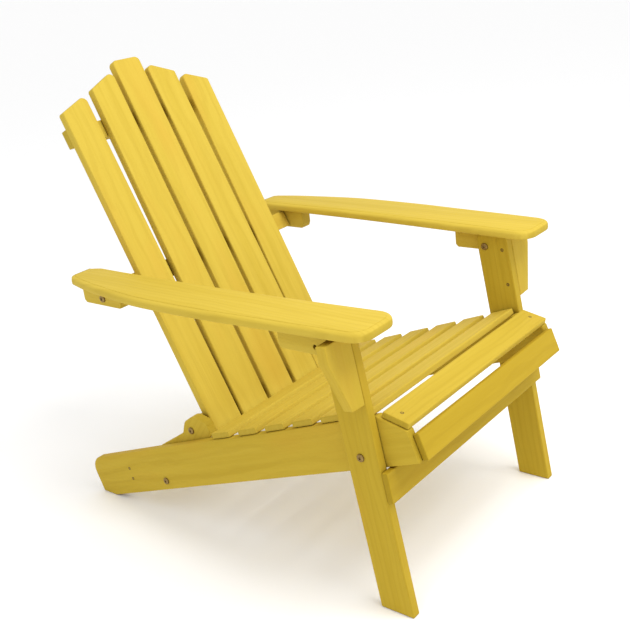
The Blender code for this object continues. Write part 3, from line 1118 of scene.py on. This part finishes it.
@dataclass
class Hardware(SubAssembly):
    """All the bolts, nuts and screws.

    Places on a stringer are (distance up its bottom edge, height square to that edge).

    Attributes:
        rake: Slope of the stringers.
        heel_y: Where the line of their bottom edge meets the ground.
        apron_face: Place of the apron's front face along the stringer.
        apron_x: Distance of the apron's screws from the middle.
        apron_rows: Heights of its screws.
        nose_drop: How much steeper the nose slat slopes than the seat.
        nose_half: Half the nose slat's thickness.
        nose_x: Distance of its screws from the middle.
        leg_front_y: Where the line of the legs' front edge meets the ground.
        stretcher_thickness: Thickness of the lower stretcher.
        joint_gap: Gap between it and the legs.
        stretcher_x: Distance of its screws from the middle.
        stretcher_rows: Distances of its screws up the legs.
        stringer_face: Distance of the stringer's outer face from the middle.
        stringer_spots: Screws over the rear stretcher.
        leg_face: Distance of the leg's inner face from the middle.
        corbel_spots: Screws behind the corbel, as (y, z).
    """

    rake: float = math.radians(RAKE)
    heel_y: float = 0.4082
    apron_face: float = 0.9353
    apron_x: float = 0.2405
    apron_rows: tuple[float, float] = (0.0150, 0.0360)
    nose_drop: float = math.radians(32.5)
    nose_half: float = 0.00625
    nose_x: float = 0.2360
    leg_front_y: float = -0.4323
    stretcher_thickness: float = 0.0125
    joint_gap: float = 0.0003
    stretcher_x: float = 0.2680
    stretcher_rows: tuple[float, float] = (0.2500, 0.2770)
    stringer_face: float = 0.260
    stringer_spots: tuple[tuple[float, float], ...] = ((0.0957, 0.0608), (0.0935, 0.0358))
    leg_face: float = 0.261
    corbel_spots: tuple[tuple[float, float], ...] = ((-0.3428, 0.518), (-0.3532, 0.4435))

    def on_stringer(self, up: float, square: float, x: float) -> Vector:
        """Point at a distance up the stringer and a height square to it.

        Args:
            up: Distance up the stringer's bottom edge.
            square: Height square to that edge.
            x: Distance across the chair.

        Returns:
            The point in the chair's frame.
        """
        y = self.heel_y - up * math.cos(self.rake) + square * math.sin(self.rake)
        z = up * math.sin(self.rake) + square * math.cos(self.rake)
        return Vector((x, y, z))

    def bolts(self) -> list[bpy.types.Object]:
        """Full bolts in place of the CAD ones, and plated nuts.

        Returns:
            The bolts and nuts.
        """
        kinds = (("leg_bolt_", "seat_frame", 1), ("link_bolt_", "seat_frame", 1),
                 ("back_bolt_", "back", 1), ("arm_rear_bolt_", "back", 1),
                 ("arm_front_bolt_", "front_legs", -1))
        pieces = []
        for side in Side:
            for word, body, sense in kinds:
                pieces.append(PivotBolt(word + side.word, body, side.value * sense).build())
            for word in ("leg_nut_", "link_nut_"):
                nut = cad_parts[word + side.word]
                dress(nut, ZINC.material())
                pieces.append(nut)
        return pieces

    def seat_screws(self) -> list[bpy.types.Object]:
        """Screws in the apron and in the nose slat.

        Returns:
            The two pieces.
        """
        up = Vector((0.0, math.sin(self.rake), math.cos(self.rake)))
        ahead = Vector((0.0, -math.cos(self.rake), math.sin(self.rake)))
        apron = []
        for x in (-self.apron_x, self.apron_x):
            apron += [self.on_stringer(self.apron_face, row, x) for row in self.apron_rows]
        nose_up = up * math.cos(self.nose_drop) + ahead * math.sin(self.nose_drop)
        low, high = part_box("seat_slat_7")
        middle = (low + high) / 2.0 + nose_up * self.nose_half
        nose = [Vector((x, middle.y, middle.z)) for x in (-self.nose_x, self.nose_x)]
        return [WoodScrews("apron_screws", "seat_frame", ahead, apron).build(),
                WoodScrews("nose_slat_screws", "seat_frame", nose_up, nose).build()]

    def stretcher_screws(self) -> bpy.types.Object:
        """Screws that hold the lower stretcher to the legs.

        Returns:
            The piece.
        """
        lean = math.radians(LEG_LEAN)
        ahead = Vector((0.0, -math.cos(lean), math.sin(lean)))
        up = Vector((0.0, math.sin(lean), math.cos(lean)))
        foot = Vector((0.0, self.leg_front_y, 0.0))
        foot += ahead * (self.stretcher_thickness + self.joint_gap)
        spots = []
        for x in (-self.stretcher_x, self.stretcher_x):
            for row in self.stretcher_rows:
                spot = foot + up * row
                spots.append(Vector((x, spot.y, spot.z)))
        return WoodScrews("stretcher_screws", "front_legs", ahead, spots).build()

    def side_screws(self, side: Side) -> list[bpy.types.Object]:
        """Screws in one stringer and in one leg behind its corbel.

        Args:
            side: Which side.

        Returns:
            The two pieces.
        """
        out = Vector((side.value, 0.0, 0.0))
        face = side.value * self.stringer_face
        rear = [self.on_stringer(up, square, face) for up, square in self.stringer_spots]
        corbel = [Vector((side.value * self.leg_face, y, z)) for y, z in self.corbel_spots]
        return [WoodScrews("stringer_screws_" + side.word, "seat_frame", out, rear).build(),
                WoodScrews("corbel_screws_" + side.word, "front_legs", -out, corbel).build()]

    def build(self) -> list[bpy.types.Object]:
        """Make every piece of hardware.

        Returns:
            The pieces.
        """
        pieces = self.bolts() + self.seat_screws() + [self.stretcher_screws()]
        for side in Side:
            pieces += self.side_screws(side)
        return pieces


# Studio -------------------------------------------------------------------------------------------

@dataclass
class Studio(SubAssembly):
    """Pale floor, soft light and the camera."""

    yaw: float = math.radians(49.1656)
    pitch: float = math.radians(20.7137)
    roll: float = math.radians(-6.8158)
    camera_spot: Triple = (-1.4239, -1.2730, 1.1370)
    lens: float = 54.979
    sensor: float = 36.0
    floor_reach: float = 220.0
    floor_gap: float = 0.0005
    floor_cells: int = 24
    floor_shade: float = 0.975
    key_spot: Triple = (0.1, -1.5, 2.8)
    key_size: float = 1.6
    key_power: float = 52.0
    aim: Triple = (0.0, 0.0, 0.45)

    def camera(self) -> bpy.types.Object:
        """Camera at the chair's three-quarter view from its left and front.

        Returns:
            The camera.
        """
        ahead = Vector((math.sin(self.yaw) * math.cos(self.pitch),
                        math.cos(self.yaw) * math.cos(self.pitch), -math.sin(self.pitch)))
        level = Vector((math.cos(self.yaw), -math.sin(self.yaw), 0.0))
        upright = level.cross(ahead)
        right = level * math.cos(self.roll) + upright * math.sin(self.roll)
        up = upright * math.cos(self.roll) - level * math.sin(self.roll)
        data = bpy.data.cameras.new("camera")
        data.sensor_width = self.sensor
        data.lens = self.lens
        camera = bpy.data.objects.new("camera", data)
        bpy.context.scene.collection.objects.link(camera)
        turn = Matrix((right, up, -ahead)).transposed().to_4x4()
        turn.translation = Vector(self.camera_spot)
        camera.matrix_world = turn
        bpy.context.scene.camera = camera
        return camera

    def floor(self) -> bpy.types.Object:
        """Wide pale floor that just clears the feet.

        Returns:
            The floor.
        """
        build = bmesh.new()
        bmesh.ops.create_grid(build, x_segments=self.floor_cells, y_segments=self.floor_cells,
                              size=self.floor_reach)
        material = bpy.data.materials.new("floor")
        material.use_nodes = True
        shader = material.node_tree.nodes["Principled BSDF"]
        shade = self.floor_shade
        shader.inputs["Base Color"].default_value = (shade, shade, shade, 1.0)
        shader.inputs["Roughness"].default_value = 0.9
        shader.inputs["Specular IOR Level"].default_value = 0.1
        piece = new_object("floor", build, material)
        piece.location.z = -self.floor_gap
        return piece

    def light(self) -> bpy.types.Object:
        """Even sky with a broad square lamp above and in front, aimed at the chair's middle.

        Returns:
            The lamp.
        """
        world = bpy.data.worlds.new("studio")
        world.use_nodes = True
        sky = world.node_tree.nodes["Background"]
        sky.inputs["Color"].default_value = (1.0, 1.0, 1.0, 1.0)
        sky.inputs["Strength"].default_value = 1.0
        bpy.context.scene.world = world
        data = bpy.data.lights.new("key", "AREA")
        data.size = self.key_size
        data.energy = self.key_power
        lamp = bpy.data.objects.new("key", data)
        bpy.context.scene.collection.objects.link(lamp)
        spot = Vector(self.key_spot)
        lamp.matrix_world = frame_towards(spot - Vector(self.aim), spot)
        bpy.context.scene.view_settings.view_transform = "Standard"
        return lamp

    def build(self) -> list[bpy.types.Object]:
        """Make the camera, floor and light.

        Returns:
            The three objects.
        """
        return [self.camera(), self.floor(), self.light()]


def main() -> None:
    """Make each sub-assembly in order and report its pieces."""
    logging.basicConfig(level=logging.INFO, format="%(name)s: %(message)s")
    arms = [Arm(side, ARM_SEED + i) for i, side in enumerate(Side)]
    for maker in [Boards(), *arms, Hardware(), Studio()]:
        for piece in maker.build():
            LOG.info("%s made %s", type(maker).__name__, piece.name)


if __name__ == "__main__":
    main()
